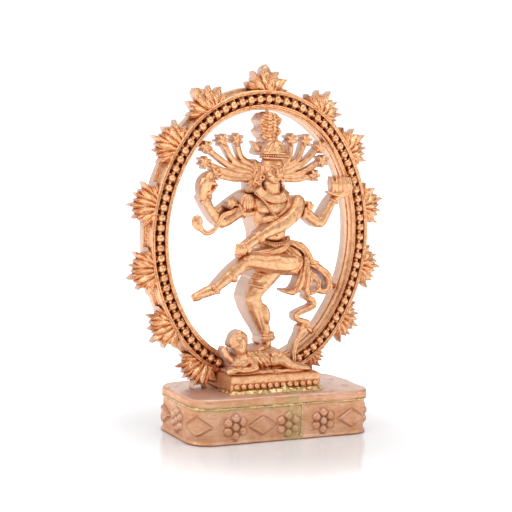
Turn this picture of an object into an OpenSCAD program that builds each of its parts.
// Nataraja statue: a dancing four-armed figure in an oval ring of flames.
// Lost-wax casting with a flat back, brazed on a box base of embossed sheet.
// Millimetres. +Z up, +X to the viewer's right, the front faces -Y.
// The origin is the centre of the base's underside.

/* [Base box] */
// Width of the sheet metal box, along X
base_width = 53.6; // [40:0.2:80]
// Depth of the sheet metal box, along Y
base_depth = 26; // [20:0.2:44]
// Height of the box from the table to the top plate
base_height = 12.4; // [9:0.1:20]
// Radius of the box corners in plan
base_corner = 5.6; // [2:0.1:9]
// Thickness of the side band and the bottom plate
sheet = 0.7; // [0.4:0.05:1.2]
// Thickness of the top plate
lid_thickness = 1.3; // [0.9:0.05:2]
// Height of the lid's turned-down edge
lid_edge = 2.6; // [1.8:0.1:3.6]
// How far the lid's edge stands out from the band
lid_overhang = 0.45; // [0.2:0.05:0.8]
// How far the embossed pattern stands out from the band
emboss = 0.35; // [0.15:0.05:0.6]
// Distance between two neighbouring pattern figures
emboss_pitch = 8.6; // [7.8:0.1:11]

/* [Pedestal] */
// Width of the cast block under the figure
pedestal_width = 27; // [22:0.2:34]
// Depth of the cast block
pedestal_depth = 16; // [12:0.2:19]
// Height of the cast block over the top plate
pedestal_height = 4.6; // [3.4:0.1:7]
// Shift of the casting to the viewer's left of the base centre
casting_shift = 1.1; // [0:0.1:3]
// Diameter of the petals on the pedestal's front
petal_width = 1.7; // [1.2:0.05:2]

/* [Ring] */
// Height from the pedestal's top to the tip of the top flame
casting_height = 83; // [66:0.5:104]
// Half width of the ring divided by its half height
ring_slimness = 0.834; // [0.76:0.002:0.92]
// Width of the ring's front face, measured across the band
ring_band = 5.3; // [4.4:0.1:6.4]
// Depth of the ring from front to back
ring_depth = 6.7; // [5.2:0.1:8.2]
// Diameter of the beads in the ring's channel
bead_diameter = 2.3; // [1.7:0.05:2.5]
// Distance between two neighbouring beads
bead_pitch = 2.7; // [2.55:0.05:3.6]
// Length of a flame's middle petal
flame_length = 6.6; // [5.4:0.1:8.6]
// Depth of the flames from front to back
flame_depth = 4.6; // [3:0.1:5.4]

/* [Figure] */
// Thickness factor of the arms and legs
limb_fullness = 1; // [0.85:0.01:1.2]
// Thickness factor of the hair locks and cords
cord_fullness = 1; // [0.85:0.01:1.25]

/* [Hidden] */
// plan figures of the 100 mm model, to which the stations of the figure belong
model_x = -1.1;
model_floor = 17;
model_height = 83;
k = casting_height / model_height;
pedestal_top = base_height + pedestal_height;
pedestal_front = -8;
// ring, in model millimetres round the centre of the oval
ring_half_height = 39.8;
ring_half_width = ring_half_height * ring_slimness;
ring_x = -1.5;
ring_z = 53.7;
ring_front = 1.1;
ring_back = ring_front + ring_depth;
cap_radius = ring_half_width - 3.2;
cap_z = ring_half_height - cap_radius;
side_lift = ring_half_width - cap_radius;
side_x = (cap_z * cap_z - side_lift * side_lift) / (2 * side_lift);
side_radius = side_x + ring_half_width;
joint_angle = atan2(cap_z, side_x);
channel_middle = 0.47 * ring_band;
bead_radius = min(bead_diameter, 0.47 * ring_band) / 2;
bead_limit = floor(106 / bead_pitch);
flame_angles = [31, 53, 78, 103, 127, 149];
back = ring_back;
bronze = [0.86, 0.64, 0.45];
copper = [0.82, 0.63, 0.51];
brass = [0.78, 0.72, 0.45];

// ---------- shared shapes ----------

// carries the model's stations to their place on the pedestal, at the casting's size
module casting() {
    translate([-casting_shift, 0, pedestal_top])
        scale(k)
            translate([-model_x, 0, -model_floor])
                children();
}

function spline(a, b, c, d, t) = 0.5 * (2 * b + (c - a) * t + (2 * a - 5 * b + 4 * c - d) * t * t
    + (3 * b - a - 3 * c + d) * t * t * t);

// passes a smooth line through the stations p, with n steps between two of them
function smooth(p, n) = [for (i = [0:len(p) - 2]) for (j = [0:n - 1])
    spline(p[max(i - 1, 0)], p[i], p[i + 1], p[min(i + 2, len(p) - 1)], j / n), p[len(p) - 1]];

// round front and straight walls to a flat back; s = [x, y, z, radius]
module stud(s, deep, full, sides) {
    r = s[3] * full;
    translate([s[0], s[1], s[2]])
        sphere(r = r, $fn = sides);
    translate([s[0], s[1], s[2]])
        rotate([-90, 0, 0])
            cylinder(h = max(deep - s[1], 0.2), r = r, $fn = sides);
}

// limb through the stations, flat at the back
module limb(p, n, deep, full = 1, sides = 10) {
    s = smooth(p, n);
    for (i = [0:len(s) - 2])
        hull() {
            stud(s[i], deep, full, sides);
            stud(s[i + 1], deep, full, sides);
        }
}

// free round cord through the stations; the radius is the fourth figure
module cord(p, n, full = 1, sides = 7) {
    s = smooth(p, n);
    for (i = [0:len(s) - 2])
        hull() {
            translate([s[i][0], s[i][1], s[i][2]])
                sphere(r = s[i][3] * full, $fn = sides);
            translate([s[i + 1][0], s[i + 1][1], s[i + 1][2]])
                sphere(r = s[i + 1][3] * full, $fn = sides);
        }
}

// body slice; s = [x, y, z, half width, front bulge, half height]
module slice(s, deep, sides) {
    translate([s[0], s[1], s[2]])
        scale([s[3], s[4], s[5]])
            sphere(r = 1, $fn = sides);
    translate([s[0], s[1], s[2]])
        rotate([-90, 0, 0])
            scale([s[3], s[5], 1])
                cylinder(h = max(deep - s[1], 0.2), r = 1, $fn = sides);
}

module body(p, n, deep, sides = 12) {
    s = smooth(p, n);
    for (i = [0:len(s) - 2])
        hull() {
            slice(s[i], deep, sides);
            slice(s[i + 1], deep, sides);
        }
}

// pointed petal along +X: flat back at y = deep, ridge along the front
module petal(length, width, front, deep, sharp = 0.5) {
    hull() {
        rotate([-90, 0, 0])
            translate([0, 0, front + sharp])
                linear_extrude(height = deep - front - sharp)
                    polygon([[0, -width * 0.32], [length * 0.45, -width / 2],
                        [length * 0.8, -width * 0.26],
                        [length, 0], [length * 0.8, width * 0.26], [length * 0.45, width / 2],
                        [0, width * 0.32]]);
        translate([0, front, 0])
            rotate([-90, 0, 0])
                linear_extrude(height = sharp)
                    polygon([[0, -width * 0.08], [length * 0.86, 0], [0, width * 0.08]]);
    }
}

// ---------- base box ----------

// exact rounded rectangle: two bars and four corner cylinders
module slab(grow, low, high) {
    w = base_width / 2 - base_corner;
    d = base_depth / 2 - base_corner;
    translate([-w, -d - base_corner - grow, low])
        cube([2 * w, 2 * (d + base_corner + grow), high - low]);
    translate([-w - base_corner - grow, -d, low])
        cube([2 * (w + base_corner + grow), 2 * d, high - low]);
    for (x = [-w, w])
        for (y = [-d, d])
            translate([x, y, low])
                cylinder(h = high - low, r = base_corner + grow);
}

band_top = base_height - lid_thickness;
band_low = sheet;
pattern_z = sheet + (base_height - lid_edge - sheet) * 0.46;
bud = 0.95;
front_count = floor((base_width / 2 - base_corner) / emboss_pitch + 0.2);
seam_x = emboss_pitch * 0.54;

// raised flower: a middle bud and six round it, as shallow domes on the plane y = 0
module flower() {
    for (a = [0:6])
        rotate([0, a * 60, 0])
            translate([0, bud * 0.75 - emboss, a == 6 ? 0 : 2.25])
                difference() {
                    sphere(r = bud);
                    translate([-2, 0.8 * bud - bud * 0.75 + emboss, -2])
                        cube([4, 4, 4]);
                }
}

// raised diamond with a sloped edge, on the plane y = 0
module diamond() {
    rotate([90, 0, 0])
        translate([0, 0, -0.25])
            linear_extrude(height = emboss + 0.25, scale = 0.86)
                polygon([[-3.9, 0], [0, -2.5], [3.9, 0], [0, 2.5]]);
}

module base_band() {
    color(copper)
        difference() {
            union() {
                slab(0, band_low, band_top);
                for (side = [0, 180])
                    rotate([0, 0, side])
                        translate([0, -base_depth / 2, pattern_z]) {
                            for (i = [-front_count:front_count])
                                translate([i * emboss_pitch + emboss_pitch * 0.3, 0, 0]) {
                                    if (i % 2 == 0)
                                        flower();
                                    else
                                        diamond();
                                }
                        }
                for (side = [90, 270])
                    rotate([0, 0, side])
                        translate([0, -base_width / 2, pattern_z]) {
                            translate([-emboss_pitch * 0.5, 0, 0])
                                flower();
                            translate([emboss_pitch * 0.5, 0, 0])
                                diamond();
                        }
            }
            slab(-sheet, -1, base_height + 1);
        }
}

module base_lid() {
    color(copper)
        difference() {
            union() {
                slab(lid_overhang, base_height - lid_edge, base_height - 0.5);
                slab(lid_overhang - 0.2, base_height - 0.5, base_height - 0.2);
                slab(lid_overhang - 0.5, base_height - 0.2, base_height);
            }
            slab(0, base_height - lid_edge - 1, band_top);
        }
}

module base_bottom() {
    color(copper) {
        slab(0.25, 0, 0.35);
        slab(0.1, 0.35, sheet);
    }
}

module lid_braze() {
    color(brass)
        difference() {
            slab(lid_overhang * 0.8, base_height - lid_edge - 0.7, base_height - lid_edge);
            slab(0, 0, base_height);
        }
}

module seam_braze() {
    color(brass)
        translate([seam_x - 0.45, -base_depth / 2 - 0.25, sheet])
            cube([0.9, 0.25, base_height - lid_edge - 0.7 - sheet]);
}

// ---------- pedestal ----------

pedestal_x = -casting_shift + 0.2;
petal_count = floor((pedestal_width - 1.2) / (petal_width * 1.12));
petal_step = (pedestal_width - 1.2) / petal_count;

module pedestal() {
    color(bronze)
        translate([pedestal_x, 0, base_height])
            difference() {
                translate([-pedestal_width / 2, pedestal_front, 0])
                    cube([pedestal_width, pedestal_depth, pedestal_height]);
                translate([-pedestal_width / 2 - 1, pedestal_front - 1, 0.9])
                    cube([pedestal_width + 2, 1.5, 0.35]);
                translate([-pedestal_width / 2 - 1, pedestal_front - 1, pedestal_height - 1.5])
                    cube([pedestal_width + 2, 1.25, 0.25]);
            }
}

module pedestal_petals() {
    color(bronze)
        for (i = [0:petal_count - 1])
            translate([pedestal_x - pedestal_width / 2 + 0.6 + (i + 0.5) * petal_step,
                pedestal_front - 0.05,
                base_height + 2.1])
                sphere(r = petal_width / 2);
}

module pedestal_braze() {
    color(brass) {
        translate([pedestal_x - pedestal_width / 2 - 0.3, pedestal_front - 1.6, base_height])
            cube([pedestal_width + 0.6, 1.6, 0.5]);
        translate([pedestal_x - pedestal_width / 2 - 0.3, pedestal_front, base_height])
            rotate([0, 90, 0])
                cylinder(h = pedestal_width + 0.6, r = 0.9);
    }
}

// ---------- ring ----------

// four-centre oval: two long arcs at the sides, a short arc at the top and bottom
module oval(inset) {
    r = cap_radius - inset;
    f = side_radius - inset;
    arc = 180 - 2 * joint_angle;
    polygon([
        for (i = [0:13])
            [-side_x + f * cos(joint_angle * (i / 7 - 1)), f * sin(joint_angle * (i / 7 - 1))],
        for (i = [0:21])
            [r * cos(joint_angle + arc * i / 22), cap_z + r * sin(joint_angle + arc * i / 22)],
        for (i = [0:13])
            [side_x - f * cos(joint_angle * (1 - i / 7)), f * sin(joint_angle * (1 - i / 7))],
        for (i = [0:21])
            [-r * cos(joint_angle + arc * i / 22), -cap_z - r * sin(joint_angle + arc * i / 22)]
    ]);
}

// plate of the oval's outline, drawn in from the rim by inset, between two depths
module oval_plate(inset, low, high) {
    translate([ring_x, ring_front + high, ring_z])
        rotate([90, 0, 0])
            linear_extrude(height = high - low)
                oval(inset);
}

module ring() {
    b = ring_band / 5.3;
    d = ring_depth / 6.7;
    color(bronze)
        casting()
            difference() {
                union() {
                    oval_plate(0, 0, 2.1 * d);
                    oval_plate(0.35, 2.1 * d, 2.9 * d);
                    oval_plate(0, 2.9 * d, 3.3 * d);
                    oval_plate(0.35, 3.3 * d, 4.1 * d);
                    oval_plate(-0.8, 4.1 * d, 6.7 * d);
                }
                difference() {
                    oval_plate(0.85 * b, -1, 1.9);
                    oval_plate(4.05 * b, -1.5, 2);
                }
                oval_plate(4.8 * b, -1, 1);
                oval_plate(5.3 * b, -1, 8 * d);
                oval_plate(4.2 * b, 2.2 * d, 2.9 * d);
                translate([ring_x - 40, -20, model_floor - 30])
                    cube([80, 60, 30]);
            }
}

// place on the oval at distance s from its top, side = 1 right, -1 left, inset from the rim
function ring_place(s, side, inset) =
    let (c = (cap_radius - inset) * PI / 180, w = (side_radius - inset) * PI / 180,
        top = (90 - joint_angle) * c, flank = 2 * joint_angle * w)
    s < top ? [ring_x + side * (cap_radius - inset) * cos(90 - s / c),
        ring_z + cap_z + (cap_radius - inset) * sin(90 - s / c)]
    : s < top + flank ? [ring_x + side * (-side_x + (side_radius - inset) * cos(joint_angle - (s - top) / w)),
        ring_z + (side_radius - inset) * sin(joint_angle - (s - top) / w)]
    : [ring_x + side * (cap_radius - inset) * cos(-joint_angle - (s - top - flank) / c),
        ring_z - cap_z + (cap_radius - inset) * sin(-joint_angle - (s - top - flank) / c)];

module ring_bead(s, side) {
    p = ring_place(s, side, channel_middle);
    if (p[1] > model_floor + bead_radius + 0.2)
        translate([p[0], ring_front + 0.75, p[1]])
            sphere(r = bead_radius);
}

module ring_beads() {
    color(bronze)
        casting() {
            for (i = [0:bead_limit])
                ring_bead(i * bead_pitch, 1);
            for (i = [1:bead_limit])
                ring_bead(i * bead_pitch, -1);
        }
}

// fan of petals round its root, opening along +X
module flame(size) {
    turns = [-78, -52, -26, 0, 26, 52, 78];
    reach = [0.74, 0.86, 0.9, 1, 0.92, 0.84, 0.72];
    for (i = [0:6])
        rotate([0, -turns[i], 0])
            petal(flame_length * size * reach[i] + 1, 2.3 * size, ring_front - 0.4 + 0.12 * abs(i - 3),
                ring_front + flame_depth, 0.9);
    hull() {
        translate([0.4, ring_front + 1.2, 0])
            rotate([-90, 0, 0])
                cylinder(h = flame_depth - 1.4, r = 3.05 * size, $fn = 7);
        translate([0.4, ring_front, 0])
            sphere(r = 1.4 * size, $fn = 7);
    }
}

// flame at parameter angle t, counted from the top; side = 1 right, -1 left
module flame_at(t, side, size = 1, pitch = 0) {
    x = ring_half_width * sin(t) * side;
    z = ring_half_height * cos(t);
    turn = atan2(z / (ring_half_height * ring_half_height), x / (ring_half_width * ring_half_width));
    color(bronze)
        casting()
            difference() {
                translate([ring_x + x, 0, ring_z + z])
                    rotate([pitch, 0, 0])
                        rotate([0, -turn, 0])
                            translate([-1, 0, 0])
                                flame(size);
                if (t > 140)
                    translate([-60, -30, model_floor - pedestal_height / k - 20])
                        cube([120, 60, 20]);
            }
}

// point on the ring's inner wall at angle t from its top
function oval_point(t) = [ring_x + (ring_half_width - ring_band - 0.4) * sin(t),
    ring_z + (ring_half_height - ring_band - 0.4) * cos(t)];

// small runners that tie the figure to the ring
module ring_ties() {
    hand = oval_point(67);
    lock = oval_point(41);
    scarf = oval_point(116);
    snake = oval_point(143);
    color(bronze)
        casting() {
            cord([[-1.7, 2.2, 86.6, 0.8], [-1.6, 2.2, 87.4, 0.6], [-1.5, 2.2, 88.6, 0.6]], 1, 1, 7);
            cord([[15.6, 3, 78.3, 0.6], [0.5 * (15.6 + lock[0]), 3, 0.5 * (78.3 + lock[1]), 0.5],
                [lock[0] + 0.5, 3, lock[1] + 0.4, 0.5]], 1, 1, 7);
            cord([[22.6, 0.6, 66.6, 0.7], [0.5 * (22.6 + hand[0]), 1.3, 0.5 * (66.6 + hand[1]), 0.6],
                [hand[0] + 0.6, 2.4, hand[1], 0.5]], 1, 1, 7);
            cord([[20.4, 5, 40.6, 0.9], [0.5 * (20.4 + scarf[0]), 5, 0.5 * (40.6 + scarf[1]), 0.8],
                [scarf[0] + 0.6, 5, scarf[1], 0.8]], 1, 1, 7);
            cord([[13.4, 3, 28.6, 0.8], [0.5 * (13.4 + snake[0]), 3, 0.5 * (28.6 + snake[1]), 0.7],
                [snake[0] + 0.5, 3, snake[1], 0.7]], 1, 1, 7);
        }
}

// ---------- figure ----------

module torso() {
    color(bronze)
        casting() {
            body([[1.1, 1.0, 50.6, 5.0, 2.6, 1.5], [0.6, 0.8, 53.2, 4.5, 2.4, 1.5],
                [0.3, 0.8, 55.6, 4.7, 2.4, 1.5],
                [0.3, 0.6, 58.6, 5.9, 2.9, 1.6], [0.2, 0.5, 61.4, 7.0, 3.1, 1.6],
                [0.1, 0.7, 63.6, 7.6, 2.6, 1.3]],
                2, back);
            body([[0, 0.8, 64.2, 4.2, 2.2, 1], [-0.1, 0.6, 66.2, 2.5, 2.2, 1],
                [-0.2, 0.4, 68.4, 2.3, 2.1, 1]],
                1, back, 14);
        }
}

module head() {
    color(bronze)
        casting() {
            body([[-0.4, -0.9, 68.9, 1.5, 1.9, 0.9], [-0.4, -0.7, 70.4, 2.6, 2.5, 1.1],
                [-0.4, -0.5, 72.3, 3.2, 2.8, 1.3], [-0.4, -0.4, 74.3, 3.4, 2.9, 1.3],
                [-0.4, -0.3, 75.8, 3.3, 2.7, 1.1]], 1, back, 14);
            hull() {
                translate([-0.4, -3.3, 73.4])
                    sphere(r = 0.35, $fn = 8);
                translate([-0.4, -3.7, 71.8])
                    sphere(r = 0.5, $fn = 8);
            }
            hull() {
                translate([-1.1, -3.1, 70.4])
                    sphere(r = 0.35, $fn = 8);
                translate([0.3, -3.1, 70.4])
                    sphere(r = 0.35, $fn = 8);
            }
            for (side = [-1, 1])
                hull() {
                    translate([-0.4 + side * 3.3, 0, 73.6])
                        sphere(r = 0.6, $fn = 8);
                    translate([-0.4 + side * 3.2, 0.2, 71.4])
                        sphere(r = 0.5, $fn = 8);
                }
        }
}

module earrings() {
    color(bronze)
        casting()
            for (side = [-1, 1])
                translate([-0.4 + side * 3.1, -0.3, 69.9])
                    rotate([90, 0, 0])
                        rotate_extrude($fn = 32)
                            translate([0.62, 0])
                                circle(r = 0.34, $fn = 16);
}

module crown() {
    color(bronze)
        casting() {
            body([[-0.3, -0.3, 76.1, 3.7, 3.0, 0.6], [-0.3, -0.3, 77.0, 3.5, 2.8, 0.6],
                [-0.2, -0.2, 78.2, 2.9, 2.3, 0.6], [-0.1, 0, 79.3, 1.7, 1.5, 0.5]], 1, back, 14);
            hull() {
                translate([-0.3, -0.4, 75.9])
                    scale([3.95, 3.2, 0.45])
                        sphere(r = 1, $fn = 16);
                translate([-0.3, 3, 75.9])
                    scale([3.95, 2, 0.45])
                        sphere(r = 1, $fn = 16);
            }
            limb([[0.1, -0.2, 79.4, 0.9], [0.2, -0.2, 80.6, 0.55], [0.2, 0, 81.3, 0.35]], 2, 3, 1, 10);
            translate([-0.4, -3.0, 77.2])
                sphere(r = 0.9, $fn = 10);
        }
}

module crown_leaf() {
    color(bronze)
        casting() {
            limb([[-3.0, 1.6, 76.9, 0.7], [-4.0, 1.6, 77.6, 0.85], [-4.8, 1.6, 78.5, 0.55],
                [-5.8, 1.6, 79.4, 0.25]],
                3, 4, 1, 10);
            limb([[-4.0, 1.8, 77.6, 0.5], [-4.6, 1.8, 77.4, 0.35], [-5.3, 1.8, 77.9, 0.2]], 2, 3.6, 1, 8);
        }
}

module crest() {
    color(bronze)
        casting() {
            limb([[-0.9, 0.6, 80.0, 1.6], [-1.2, 0.4, 82.0, 1.9], [-0.9, 0.4, 84.0, 1.8],
                [-1.2, 0.6, 85.8, 1.8]],
                2, 6.4);
            limb([[0.8, 1.0, 81.4, 0.9], [1.2, 0.8, 82.4, 1.0], [0.6, 1.0, 83.4, 0.9]], 1, 6.4, 1, 8);
            limb([[0.6, 1.0, 84.2, 0.9], [1.2, 0.8, 85.2, 1.1], [0.4, 1.0, 86.3, 0.9]], 1, 6.4, 1, 8);
            limb([[-2.6, 1.0, 81.2, 0.9], [-3.3, 0.9, 82.2, 0.9], [-2.6, 1.0, 83.2, 0.9]], 1, 6.4, 1, 8);
            limb([[-2.4, 1.0, 84.2, 0.9], [-3.4, 0.9, 85.2, 1.0], [-2.6, 1.0, 86.3, 0.9]], 1, 6.4, 1, 8);
        }
}

module hair_curls() {
    rows = [[-4.4, 2.4, 66.2], [-5.4, 3.4, 67.6], [-4.3, 1.8, 68.6], [-5.6, 3.6, 70.0], [-4.4, 2.0, 71.0],
        [-5.2, 3.6, 72.4], [-4.1, 2.4, 73.4], [3.4, 2.4, 66.8], [3.9, 3.2, 68.4], [3.6, 2.6, 70.2],
        [3.9, 3.4, 72.0], [3.4, 2.6, 73.6]];
    color(bronze)
        casting() {
            limb([[-4.6, 3.4, 66.2, 1.3], [-4.7, 3.4, 69.8, 1.6],
                [-4.2, 3.4, 73.4, 1.3]], 1, back, 1, 10);
            limb([[3.1, 3.4, 66.6, 1.2], [3.3, 3.4, 70, 1.4], [3, 3.4, 73.6, 1.2]], 1, back, 1, 10);
            for (p = rows)
                translate(p)
                    sphere(r = 1.0, $fn = 6);
        }
}

// star flower at the end of a lock
module star(x, z, r) {
    translate([x, 5.2, z])
        rotate([90, 0, 0])
            linear_extrude(height = 3.4)
                polygon([for (i = [0:9]) let (a = i * 36 + 90, q = i % 2 == 0 ? r : 0.55 * r)
                    [q * cos(a), q * sin(a)]]);
    translate([x, 1.9, z])
        sphere(r = 0.62, $fn = 8);
}

module lock(p, r) {
    e = p[len(p) - 1];
    limb(p, 2, 5, cord_fullness, 6);
    star(e[0], e[2], r);
}

module hair_locks_left() {
    color(bronze)
        casting() {
            lock([[-5.4, 2.6, 69.4, 0.6], [-11.0, 2.6, 69.2, 0.6], [-16.2, 2.4, 70.4, 0.5]], 1.8);
            lock([[-5.4, 2.6, 70.3, 0.6], [-12.0, 2.4, 71.0, 0.6], [-19.2, 2.4, 73.4, 0.5]], 2.0);
            lock([[-5.4, 2.6, 71.2, 0.6], [-12.4, 2.4, 73.0, 0.6], [-19.0, 2.4, 77.4, 0.5]], 2.0);
            lock([[-5.2, 2.6, 72.1, 0.6], [-10.8, 2.4, 74.2, 0.6], [-14.4, 2.4, 79.2, 0.5]], 1.9);
            lock([[-4.8, 2.6, 73.0, 0.6], [-8.6, 2.4, 75.2, 0.6], [-10.2, 2.4, 79.5, 0.5]], 1.9);
        }
}

module hair_locks_right() {
    color(bronze)
        casting() {
            lock([[4.0, 2.6, 69.4, 0.6], [8.8, 2.6, 69.2, 0.6], [13.6, 2.4, 70.4, 0.5]], 1.8);
            lock([[4.0, 2.6, 70.3, 0.6], [9.8, 2.4, 71.0, 0.6], [16.2, 2.4, 74.4, 0.5]], 1.9);
            lock([[4.0, 2.6, 71.2, 0.6], [10.0, 2.4, 73.4, 0.6], [15.2, 2.4, 78.2, 0.5]], 1.7);
            lock([[3.8, 2.6, 72.1, 0.6], [8.6, 2.4, 74.6, 0.6], [10.8, 2.4, 79.8, 0.5]], 1.9);
            lock([[3.4, 2.6, 73.0, 0.6], [6.2, 2.4, 75.4, 0.6], [6.4, 2.4, 79.9, 0.5]], 1.9);
        }
}

module necklaces() {
    f = cord_fullness;
    color(bronze)
        casting() {
            cord([[-3.1, -0.6, 67.0, 0.45], [-2.0, -1.9, 65.6, 0.45], [-0.1, -2.4, 64.9, 0.5],
                [1.8, -1.9, 65.6, 0.45], [2.9, -0.6, 67.0, 0.45]], 2, f);
            cord([[-4.4, -0.4, 66.0, 0.45], [-2.9, -2.0, 64.4, 0.45], [-0.1, -2.7, 63.5, 0.5],
                [2.7, -2.0, 64.4, 0.45], [4.2, -0.4, 66.0, 0.45]], 2, f);
        }
}

module chest_cord() {
    f = cord_fullness;
    color(bronze)
        casting() {
            cord([[-5.4, -0.6, 65.4, 0.38], [-3.9, -2.2, 62.6, 0.38], [-1.7, -2.7, 60.4, 0.38],
                [-0.5, -2.6, 58.4, 0.55]], 2, f);
            cord([[4.4, -0.6, 65.4, 0.38], [3.6, -2.2, 62.4, 0.38], [1.9, -2.7, 60.0, 0.38],
                [-0.5, -2.6, 58.4, 0.55]], 2, f);
        }
}

module raised_hand_arm() {
    f = limb_fullness;
    color(bronze)
        casting() {
            limb([[-7.0, 0.6, 63.0, 2.3], [-8.6, 0.4, 61.4, 1.8], [-11.8, 0.0, 59.2, 1.5],
                [-15.2, -0.4, 57.6, 1.5],
                [-17.6, -0.6, 59.6, 1.35], [-19.8, -0.8, 62.4, 1.15],
                [-21.0, -0.8, 64.2, 1.0]], 2, 3.6, f);
            limb([[-21.0, -0.8, 64.2, 1.0], [-21.2, -0.8, 66.6, 1.5], [-20.6, -0.8, 68.8, 1.6],
                [-19.2, -0.6, 70.4, 1.0]],
                2, 1.8, f, 9);
            limb([[-19.6, -0.6, 67.6, 1.2], [-18.2, -0.4, 68.6, 0.8],
                [-17.8, -0.2, 67.0, 0.5]], 1, 1.6, f, 10);
        }
}

module drum_arm() {
    f = limb_fullness;
    color(bronze)
        casting()
            limb([[-6.8, 4.6, 64.6, 1.7], [-9.8, 4.6, 63.0, 1.5], [-13.2, 4.4, 60.6, 1.4],
                [-15.6, 4.2, 59.4, 1.3],
                [-17.4, 4.0, 62.6, 1.1], [-18.0, 3.6, 65.4, 1.0]], 2, 6.6, f, 8);
}

module drum() {
    color(bronze)
        casting()
            translate([-17.8, 3.0, 66.0])
                rotate([12, 8, 0])
                    rotate_extrude($fn = 32)
                        polygon([[0, -2.2], [1.35, -2.2], [1.45, -1.9], [0.75, 0], [1.45, 1.9],
                            [1.35, 2.2],
                            [0, 2.2]]);
}

module swung_arm() {
    f = limb_fullness;
    color(bronze)
        casting() {
            limb([[7.6, -0.4, 63.2, 2.2], [6.0, -1.8, 60.6, 2.2], [2.6, -3.0, 58.0, 2.1],
                [-1.6, -3.6, 56.2, 1.9],
                [-5.6, -3.8, 54.2, 1.35]], 2, -0.4, f);
            limb([[-5.6, -3.8, 54.2, 1.35], [-8.2, -3.8, 52.6, 1.5], [-10.4, -3.8, 50.8, 1.4],
                [-11.6, -3.6, 49.2, 0.9]],
                2, -2.6, f);
        }
}

module fire_arm() {
    f = limb_fullness;
    color(bronze)
        casting() {
            limb([[8.2, 1.4, 63.0, 2.0], [10.8, 1.2, 60.6, 1.7], [13.4, 0.8, 58.4, 1.6],
                [15.6, 0.6, 57.6, 1.6],
                [17.2, 0.4, 60.0, 1.4], [18.6, 0.2, 62.6, 1.2], [19.8, 0.0, 64.4, 1.0]], 2, 4.4, f);
            limb([[19.8, 0.0, 64.4, 1.0], [21.4, -0.4, 65.4, 1.0], [23.4, -0.6, 66.0, 0.8],
                [24.8, -0.6, 67.6, 0.5]],
                2, 0.6, f, 10);
        }
}

module hand_fire() {
    color(bronze)
        casting()
            for (i = [0:3])
                limb([[20.2 + i * 1.35, -0.4, 66.0, 0.7], [20.0 + i * 1.35, -0.6, 68.0, 0.75],
                    [19.8 + i * 1.4, -0.5, 70.4 - 0.2 * abs(i - 1.5), 0.3]], 2, 1.6, 1, 8);
}

module armbands() {
    f = cord_fullness;
    color(bronze)
        casting() {
            for (a = [0:5])
                translate([10.2 + 0.9 * cos(a * 60) * 0.7, -0.6 - 0.9 * (a % 2),
                    61.2 + 1.9 * sin(a * 60)])
                    sphere(r = 0.75, $fn = 6);
            limb([[9.6, -0.2, 59.4, 0.6], [10.6, -0.9, 61.2, 0.7], [11.6, -0.2, 63.0, 0.5]], 2, 3, f, 6);
            limb([[-8.6, -0.4, 59.2, 0.5], [-9.6, -1.4, 60.6, 0.55],
                [-10.2, -0.6, 62.2, 0.5]], 2, 3, f, 6);
            for (a = [0:4])
                translate([-12.6 + 0.8 * a, 0.6, 62.4 + 0.9 * sin(a * 70)])
                    sphere(r = 0.8, $fn = 6);
        }
}

// closed ring round a limb; turn is the limb's direction in the front plane
module bangle(x, y, z, r, thick, turn) {
    translate([x, y, z])
        rotate([0, 90 - turn, 0])
            rotate_extrude($fn = 32)
                translate([r, 0])
                    circle(r = thick, $fn = 16);
}

module bracelets() {
    t = 0.42 * cord_fullness;
    color(bronze)
        casting() {
            bangle(-20.7, -0.6, 63.6, 1.15, t, 120);
            bangle(-5.4, -3.6, 54.3, 1.45, t, 208);
            bangle(-6.3, -3.6, 53.8, 1.45, t, 208);
            bangle(19.3, 0.2, 63.6, 1.15, t, 60);
        }
}

module anklets() {
    t = 0.45 * cord_fullness;
    color(bronze)
        casting() {
            bangle(-18.0, -3.2, 40.2, 1.4, t, 222);
            bangle(0.9, 1.8, 25.6, 1.75, t, 100);
            bangle(0.8, 1.8, 26.5, 1.65, t, 100);
        }
}

module arm_snake() {
    f = cord_fullness;
    color(bronze)
        casting() {
            cord([[-11.4, -0.9, 61.2, 0.5], [-13.4, -2.0, 60.4, 0.65], [-15.8, -2.0, 59.6, 0.7],
                [-16.8, -2.0, 57.6, 0.7], [-18.4, -1.8, 55.6, 0.7], [-20.2, -1.6, 54.9, 0.7],
                [-21.6, -1.4, 55.8, 0.8], [-22.6, -1.2, 57.2, 1.2]], 2, f);
            hull() {
                translate([-22.9, -1.2, 57.9])
                    scale([1.7, 0.9, 1.9])
                        sphere(r = 1, $fn = 14);
                translate([-22.6, -1.2, 56.4])
                    sphere(r = 0.9, $fn = 10);
            }
        }
}

module waist_belt() {
    f = cord_fullness;
    color(bronze)
        casting() {
            cord([[-3.6, 0.8, 53.0, 0.7], [-1.4, -1.6, 51.9, 0.8], [1.4, -2.2, 51.7, 0.8],
                [4.2, -1.6, 52.2, 0.8],
                [5.6, 0.6, 53.4, 0.7]], 2, f, 8);
            limb([[5.0, -1.0, 52.4, 0.9], [2.4, -2.4, 50.6, 1.1], [-1.2, -3.0, 49.8, 1.1],
                [-5.0, -3.2, 49.6, 1.0],
                [-8.4, -3.2, 49.4, 0.6]], 2, 0, f, 8);
        }
}

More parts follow.
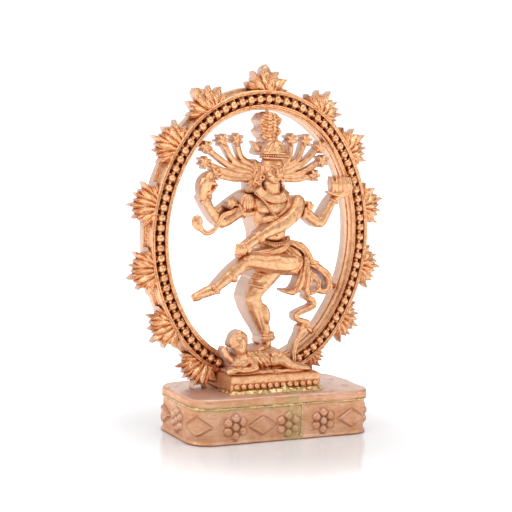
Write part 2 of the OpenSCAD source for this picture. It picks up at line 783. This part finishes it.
module hip_cloth() {
    color(bronze)
        casting() {
            body([[1.6, 1.0, 50.2, 5.0, 2.8, 1.3], [4.4, 0.8, 48.6, 5.2, 3.2, 2.4],
                [6.0, 0.6, 46.4, 4.6, 3.4, 2.2],
                [5.6, 0.8, 44.4, 3.8, 3.0, 1.6]], 2, back, 16);
            body([[3.2, 1.4, 46.0, 4.0, 2.8, 1.8], [0.4, 1.4, 44.2, 4.0, 2.8, 1.8],
                [-1.4, 1.6, 42.4, 3.8, 2.7, 1.5]],
                1, back, 13);
            for (i = [0:1])
                limb([[2.6 + i * 1.6, -2.0, 51.2 - i * 0.2, 0.3],
                    [5.2 + i * 1.3, -2.8, 48.4 - i * 0.1, 0.35],
                    [8.4 + i * 0.6, -2.2, 46.2 + i * 0.8, 0.3]], 2, 0, 1, 6);
        }
}

module side_sash() {
    f = cord_fullness;
    color(bronze)
        casting() {
            limb([[7.2, 1.6, 51.6, 1.0], [10.2, 1.4, 50.8, 1.2], [12.4, 1.4, 48.6, 1.2],
                [14.0, 1.6, 46.4, 1.0],
                [16.4, 1.6, 46.2, 0.3]], 2, 6.6, f, 8);
            limb([[11.2, 0.2, 47.4, 0.8], [10.4, 0, 44.4, 1.1], [9.6, 0, 40.6, 1.3],
                [7.6, 0.2, 38.2, 1.0],
                [4.4, 0.4, 38.8, 0.35]], 2, 3.6, f, 8);
            limb([[11.8, 0.2, 47.0, 0.8], [11.6, 0, 43.6, 1.1], [11.6, 0, 39.6, 1.2],
                [12.6, 0.2, 36.8, 0.6]],
                2, 3.6, f, 8);
        }
}

module flying_scarf() {
    f = cord_fullness;
    color(bronze)
        casting() {
            limb([[13.4, 2.4, 46.4, 0.9], [16.8, 2.4, 44.6, 1.1], [19.6, 2.4, 42.4, 1.2],
                [20.6, 2.4, 39.8, 1.1],
                [19.2, 2.4, 37.8, 0.9], [17.0, 2.4, 38.2, 0.8]], 2, 6.6, f, 8);
            limb([[12.6, 2.4, 44.4, 0.8], [15.0, 2.4, 42.4, 0.8], [17.0, 2.4, 40.6, 0.7],
                [16.8, 2.4, 38.4, 0.7],
                [14.4, 2.4, 37.4, 0.6]], 2, 6.6, f, 8);
            cord([[13.8, 2.6, 42.8, 0.45], [14.6, 2.4, 40.8, 0.5], [13.6, 2.4, 39.0, 0.5],
                [12.6, 2.6, 38.2, 0.4]],
                2, f);
        }
}

module standing_leg() {
    f = limb_fullness;
    color(bronze)
        casting() {
            limb([[1.6, 1.8, 45.0, 3.4], [-1.4, 1.8, 41.8, 3.3], [-3.9, 1.6, 38.6, 2.7],
                [-4.5, 1.4, 36.8, 2.6],
                [-3.4, 1.8, 34.2, 2.6], [-1.8, 1.8, 31.2, 2.4], [-0.2, 1.8, 28.0, 1.8],
                [0.8, 1.8, 25.6, 1.45],
                [0.6, 1.6, 24.2, 1.5]], 1, back, f, 12);
            hull() {
                translate([0.8, 2.0, 23.6])
                    sphere(r = 1.4 * f, $fn = 12);
                translate([-2.2, -0.4, 22.8])
                    sphere(r = 1.1, $fn = 12);
                translate([-4.0, -1.4, 22.3])
                    sphere(r = 0.7, $fn = 12);
                translate([2.4, 4.4, 23.0])
                    sphere(r = 1.0, $fn = 12);
            }
        }
}

module raised_leg() {
    f = limb_fullness;
    color(bronze)
        casting() {
            limb([[6.6, -0.8, 46.8, 2.6], [2.4, -1.8, 46.6, 3.0], [-2.4, -2.4, 47.2, 2.9],
                [-6.6, -2.6, 47.6, 2.5],
                [-8.6, -2.8, 47.2, 2.2], [-10.8, -2.8, 46.0, 2.0], [-13.4, -3.0, 44.0, 1.9],
                [-16.0, -3.2, 41.8, 1.5],
                [-18.0, -3.2, 40.2, 1.15]], 2, -0.4, f, 10);
            hull() {
                translate([-18.0, -3.2, 39.9])
                    sphere(r = 1.25 * f, $fn = 12);
                translate([-21.4, -3.4, 38.7])
                    sphere(r = 0.95, $fn = 12);
                translate([-24.2, -3.6, 37.9])
                    sphere(r = 0.6, $fn = 12);
                translate([-23.6, -2.4, 38.2])
                    sphere(r = 0.5, $fn = 10);
            }
        }
}

module ground_snake() {
    f = cord_fullness;
    color(bronze)
        casting() {
            limb([[12.4, 1.2, 36.6, 0.8], [14.6, 1.2, 35.6, 0.85], [15.0, 1.2, 34.0, 0.85],
                [12.0, 1.2, 32.8, 0.85],
                [9.4, 1.2, 31.6, 0.85], [10.2, 1.2, 30.2, 0.8], [13.2, 1.2, 29.4, 0.8],
                [13.6, 1.2, 28.4, 0.8]],
                2, 4, f, 8);
            limb([[11.6, 1.0, 27.4, 1.5], [10.6, 1.0, 25.6, 0.9], [9.4, 1.0, 23.4, 0.9],
                [9.0, 1.0, 20.6, 0.9],
                [9.2, 1.0, 17.6, 0.9]], 2, 4, f, 8);
        }
}

module dwarf_body() {
    color(bronze)
        casting() {
            limb([[-10.4, -3.6, 19.6, 2.4], [-7.6, -3.2, 20.6, 2.7], [-4.4, -2.6, 20.4, 2.6],
                [-1.0, -2.6, 19.8, 2.4], [2.6, -2.8, 19.6, 2.3]], 2, 6, 1, 13);
            limb([[-5.4, 1.0, 20.8, 2.2], [-1.6, 1.0, 21.4, 1.9], [2.8, 1.2, 21.0, 1.9]], 2, 7, 1, 10);
        }
}

module dwarf_head() {
    color(bronze)
        casting() {
            hull() {
                translate([-10.8, -4.2, 25.6])
                    scale([2.3, 2.1, 2.3])
                        sphere(r = 1, $fn = 16);
                translate([-10.4, -4.6, 23.6])
                    sphere(r = 1.5, $fn = 12);
                translate([-10.6, -1.6, 25.4])
                    sphere(r = 1.9, $fn = 12);
            }
            limb([[-12.8, -3.4, 25.0, 0.8], [-12.0, -3.8, 27.2, 0.9], [-10.4, -4.0, 28.0, 0.9],
                [-8.8, -3.8, 26.8, 0.8], [-8.4, -3.4, 24.8, 0.7]], 2, -1, 1, 8);
            limb([[-10.2, -3.8, 22.6, 1.5], [-9.8, -3.6, 21.2, 1.6]], 2, 0, 1, 10);
        }
}

module dwarf_limbs() {
    color(bronze)
        casting() {
            limb([[-12.4, -3.4, 20.6, 1.0], [-14.0, -3.6, 22.0, 0.9],
                [-14.6, -3.4, 23.6, 1.0]], 2, -1, 1, 8);
            limb([[-8.0, -5.4, 21.0, 0.9], [-6.4, -6.4, 18.8, 0.9], [-10.2, -6.6, 18.3, 0.8],
                [-13.2, -6.4, 18.4, 0.8]],
                2, -4, 1, 8);
            limb([[0.4, -3.6, 20.0, 1.9], [2.2, -4.2, 20.6, 2.0], [4.0, -5.0, 19.2, 1.5],
                [6.6, -5.6, 18.3, 1.1],
                [9.6, -6.0, 17.9, 0.8]], 2, -1, 1, 10);
        }
}

base_band();
base_lid();
base_bottom();
lid_braze();
seam_braze();
pedestal();
pedestal_petals();
pedestal_braze();
ring();
ring_beads();
flame_at(0, 1);  // flame_top
flame_at(flame_angles[0], -1);  // flame_left_1
flame_at(flame_angles[1], -1);  // flame_left_2
flame_at(flame_angles[2], -1);  // flame_left_3
flame_at(flame_angles[3], -1);  // flame_left_4
flame_at(flame_angles[4], -1);  // flame_left_5
flame_at(flame_angles[5], -1, 1, 18);  // flame_left_6
flame_at(flame_angles[0], 1);  // flame_right_1
flame_at(flame_angles[1], 1);  // flame_right_2
flame_at(flame_angles[2], 1);  // flame_right_3
flame_at(flame_angles[3], 1);  // flame_right_4
flame_at(flame_angles[4], 1);  // flame_right_5
flame_at(flame_angles[5], 1, 0.75);  // flame_right_6
ring_ties();
torso();
head();
earrings();
crown();
crown_leaf();
crest();
hair_curls();
hair_locks_left();
hair_locks_right();
necklaces();
chest_cord();
raised_hand_arm();
drum_arm();
drum();
swung_arm();
fire_arm();
hand_fire();
armbands();
bracelets();
arm_snake();
waist_belt();
hip_cloth();
side_sash();
flying_scarf();
standing_leg();
raised_leg();
anklets();
ground_snake();
dwarf_body();
dwarf_head();
dwarf_limbs();
